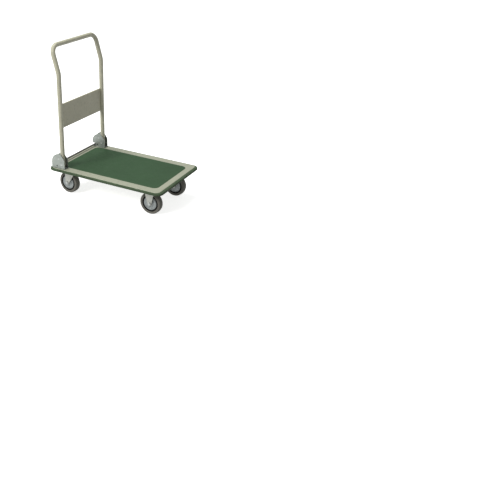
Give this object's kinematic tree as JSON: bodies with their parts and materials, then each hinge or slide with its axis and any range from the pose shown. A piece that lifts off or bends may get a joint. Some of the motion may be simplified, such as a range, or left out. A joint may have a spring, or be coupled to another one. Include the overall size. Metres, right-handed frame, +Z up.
{
  "type": "folding platform cart",
  "caption": "Steel platform cart with a green mat, cream fold-down push handle, foot-released hinge locks, two swivel and two fixed casters.",
  "frame": {"origin": "on the floor, under the middle of the whole cart with its handle up", "axes": "+X from the handle end to the front end, +Y to the left, +Z up"},
  "size_m": [0.776, 0.494, 0.9266],
  "materials": {
    "cream_paint": "semi-gloss powder coat",
    "cream_paint_handle": "semi-gloss powder coat on the bent tube and its panel",
    "green_mat": "matt vinyl mat with a fine leather-like grain",
    "green_bumper": "satin dark green soft edge strip",
    "green_paint": "satin dark green paint",
    "zinc_plate": "bright zinc plate with a faint blue-white spangle",
    "zinc_disc": "zinc-plated pressed disc",
    "zinc_fastener": "zinc-plated fasteners",
    "black_steel": "black oxide",
    "dark_steel": "dark brown-grey painted steel",
    "black_plastic": "matt black polyethylene",
    "bright_steel": "ground steel",
    "tyre": "grey-brown solid rubber",
    "black_rim": "black ring between disc and tyre"
  },
  "bodies": {
    "platform": {"deck_pan": "cream_paint", "deck_mat": "green_mat", "edge_bumper": "green_bumper", "end_channels": "green_paint", "front_caster_beam": "green_paint", "rear_caster_beam": "green_paint", "deck_stiffeners": "green_paint", "hinge_bracket_left": "zinc_plate", "hinge_bracket_right": "zinc_plate", "bracket_backing_plates": "zinc_plate", "bracket_bolts": "zinc_fastener", "bracket_nuts": "zinc_fastener", "pivot_pins": "zinc_fastener", "pivot_washers": "zinc_fastener", "lever_pins": "black_steel", "stop_pins": "zinc_fastener", "swivel_plates": "zinc_plate", "kingpins": "zinc_fastener", "caster_bolts": "zinc_fastener", "caster_nuts": "zinc_fastener", "front_axle_sleeves": "bright_steel", "front_axle_bolts": "zinc_fastener", "front_axle_nuts": "zinc_fastener", "front_left_fixed_fork": "zinc_plate", "front_right_fixed_fork": "zinc_plate"},
    "handle": {"handle_tube": "cream_paint_handle", "handle_panel": "cream_paint_handle", "tube_end_plugs": "black_plastic", "pivot_sleeves": "bright_steel", "lock_sectors": "dark_steel"},
    "release": {"release_bar": "dark_steel", "release_levers": "dark_steel", "return_springs": "bright_steel"},
    "rear_left_swivel": {"rear_left_swivel_fork": "zinc_plate", "rear_left_ball_ring": "bright_steel", "rear_left_axle_sleeve": "bright_steel", "rear_left_axle_bolt": "zinc_fastener", "rear_left_axle_nut": "zinc_fastener"},
    "rear_right_swivel": {"rear_right_swivel_fork": "zinc_plate", "rear_right_ball_ring": "bright_steel", "rear_right_axle_sleeve": "bright_steel", "rear_right_axle_bolt": "zinc_fastener", "rear_right_axle_nut": "zinc_fastener"},
    "front_left_wheel": {"front_left_tyre": "tyre", "front_left_rim_ring": "black_rim", "front_left_wheel_discs": "zinc_disc", "front_left_wheel_bearing": "bright_steel"},
    "front_right_wheel": {"front_right_tyre": "tyre", "front_right_rim_ring": "black_rim", "front_right_wheel_discs": "zinc_disc", "front_right_wheel_bearing": "bright_steel"},
    "rear_left_wheel": {"rear_left_tyre": "tyre", "rear_left_rim_ring": "black_rim", "rear_left_wheel_discs": "zinc_disc", "rear_left_wheel_bearing": "bright_steel"},
    "rear_right_wheel": {"rear_right_tyre": "tyre", "rear_right_rim_ring": "black_rim", "rear_right_wheel_discs": "zinc_disc", "rear_right_wheel_bearing": "bright_steel"}
  },
  "joints": [
    {"name": "handle_fold", "type": "hinge", "parent": "platform", "child": "handle", "pos_m": [-0.3, 0, 0.208], "axis": [0, 1, 0], "range_deg": [0, 90]},
    {"name": "release_bar_press", "type": "hinge", "parent": "platform", "child": "release", "pos_m": [-0.33, 0, 0.199], "axis": [0, -1, 0], "range_deg": [-6, 9], "stiffness_Nm_per_rad": 1.5, "springref_deg": -5.73},
    {"name": "rear_left_swivel", "type": "hinge", "parent": "platform", "child": "rear_left_swivel", "pos_m": [-0.281, 0.147, 0.155], "axis": [0, 0, 1], "continuous": true},
    {"name": "rear_right_swivel", "type": "hinge", "parent": "platform", "child": "rear_right_swivel", "pos_m": [-0.281, -0.147, 0.155], "axis": [0, 0, 1], "continuous": true},
    {"name": "front_left_wheel_spin", "type": "hinge", "parent": "platform", "child": "front_left_wheel", "pos_m": [0.276, 0.147, 0.068], "axis": [0, 1, 0], "continuous": true},
    {"name": "front_right_wheel_spin", "type": "hinge", "parent": "platform", "child": "front_right_wheel", "pos_m": [0.276, -0.147, 0.068], "axis": [0, 1, 0], "continuous": true},
    {"name": "rear_left_wheel_spin", "type": "hinge", "parent": "rear_left_swivel", "child": "rear_left_wheel", "pos_m": [-0.3059, 0.14918, 0.068], "axis": [0.0872, 0.9962, 0], "continuous": true},
    {"name": "rear_right_wheel_spin", "type": "hinge", "parent": "rear_right_swivel", "child": "rear_right_wheel", "pos_m": [-0.3059, -0.14482, 0.068], "axis": [0.0872, 0.9962, 0], "continuous": true}
  ]
}
